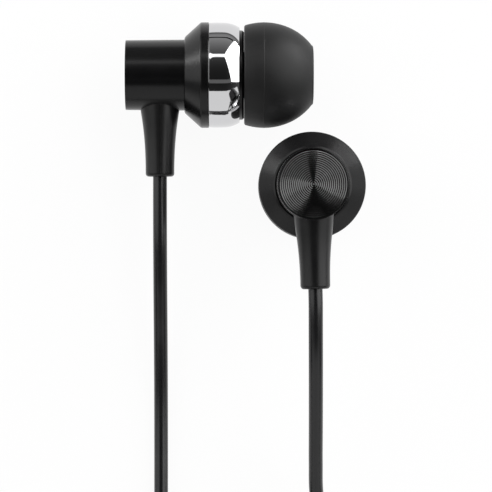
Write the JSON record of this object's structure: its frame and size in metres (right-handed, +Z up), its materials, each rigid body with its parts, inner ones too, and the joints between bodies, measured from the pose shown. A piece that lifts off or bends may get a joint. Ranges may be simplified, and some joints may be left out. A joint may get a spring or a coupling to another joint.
{
  "type": "wired earphones",
  "caption": "In-ear earphones with metal-ringed earpieces, silicone tips, coiled cables, a Y splitter and an angled 3.5 mm stereo plug.",
  "frame": {"origin": "middle of the two earpieces' box, on the surface that they lie on", "axes": "+Z up from the surface; -Y the way the cables leave the earpieces; +X along the left earpiece's nozzle"},
  "size_m": [0.0295, 0.1528, 0.0215],
  "materials": {
    "cap_metal": "black-lacquered aluminium, turned with concentric grooves",
    "housing_plastic": "semi-gloss black moulded ABS",
    "polished_ring": "polished chrome plate",
    "fine_mesh": "fine punched steel",
    "basket_plastic": "grey moulded plastic",
    "soft_steel": "zinc-plated soft steel",
    "magnet": "nickel-plated sintered magnet",
    "copper_wire": "enamelled copper winding",
    "film": "thin clear polyester film",
    "damping_paper": "porous damping paper",
    "board": "green glass-epoxy board",
    "wire_coat": "lacquered fine wire",
    "relief_plastic": "satin black soft moulding",
    "cable_coat": "smooth black cable jacket",
    "silicone": "matt black silicone",
    "strap": "black elastomer strap",
    "contact_plating": "gold-plated brass",
    "insulator": "black insulating plastic"
  },
  "bodies": {
    "earphones": {"left_rear_cap": "cap_metal", "left_rear_housing": "housing_plastic", "left_chrome_ring": "polished_ring", "left_front_housing": "housing_plastic", "left_nozzle_mesh": "fine_mesh", "left_driver_basket": "basket_plastic", "left_driver_yoke": "soft_steel", "left_driver_magnet": "magnet", "left_pole_plate": "soft_steel", "left_driver_cover": "soft_steel", "left_damping_paper": "damping_paper", "left_terminal_board": "board", "left_lead_wires": "wire_coat", "left_strain_relief": "relief_plastic", "left_cable_end": "cable_coat", "right_rear_cap": "cap_metal", "right_rear_housing": "housing_plastic", "right_chrome_ring": "polished_ring", "right_front_housing": "housing_plastic", "right_nozzle_mesh": "fine_mesh", "right_driver_basket": "basket_plastic", "right_driver_yoke": "soft_steel", "right_driver_magnet": "magnet", "right_pole_plate": "soft_steel", "right_driver_cover": "soft_steel", "right_damping_paper": "damping_paper", "right_terminal_board": "board", "right_lead_wires": "wire_coat", "right_strain_relief": "relief_plastic", "right_cable_end": "cable_coat", "left_cable_lead": "cable_coat", "left_coil": "cable_coat", "left_cable_tail": "cable_coat", "right_cable_lead": "cable_coat", "right_coil": "cable_coat", "right_cable_tail": "cable_coat", "side_strap": "strap", "splitter": "relief_plastic", "main_cable_lead": "cable_coat", "main_coil": "cable_coat", "main_cable_tail": "cable_coat", "main_strap": "strap", "plug_grip": "relief_plastic", "plug_sleeve": "contact_plating", "plug_insulator_rear": "insulator", "plug_ring": "contact_plating", "plug_insulator_front": "insulator", "plug_tip": "contact_plating"},
    "left_tip": {"left_ear_tip": "silicone"},
    "left_cone": {"left_diaphragm": "film", "left_voice_coil": "copper_wire"},
    "right_tip": {"right_ear_tip": "silicone"},
    "right_cone": {"right_diaphragm": "film", "right_voice_coil": "copper_wire"}
  },
  "joints": [
    {"name": "left_tip_pull", "type": "slide", "parent": "earphones", "child": "left_tip", "axis": [1, 0, 0], "range_m": [0, 0.006]},
    {"name": "left_cone_travel", "type": "slide", "parent": "earphones", "child": "left_cone", "axis": [1, 0, 0], "range_m": [-0.00015, 0.00015], "stiffness_N_per_m": 300},
    {"name": "right_tip_pull", "type": "slide", "parent": "earphones", "child": "right_tip", "axis": [0, 0, -1], "range_m": [0, 0.006]},
    {"name": "right_cone_travel", "type": "slide", "parent": "earphones", "child": "right_cone", "axis": [0, 0, -1], "range_m": [-0.00015, 0.00015], "stiffness_N_per_m": 300}
  ]
}
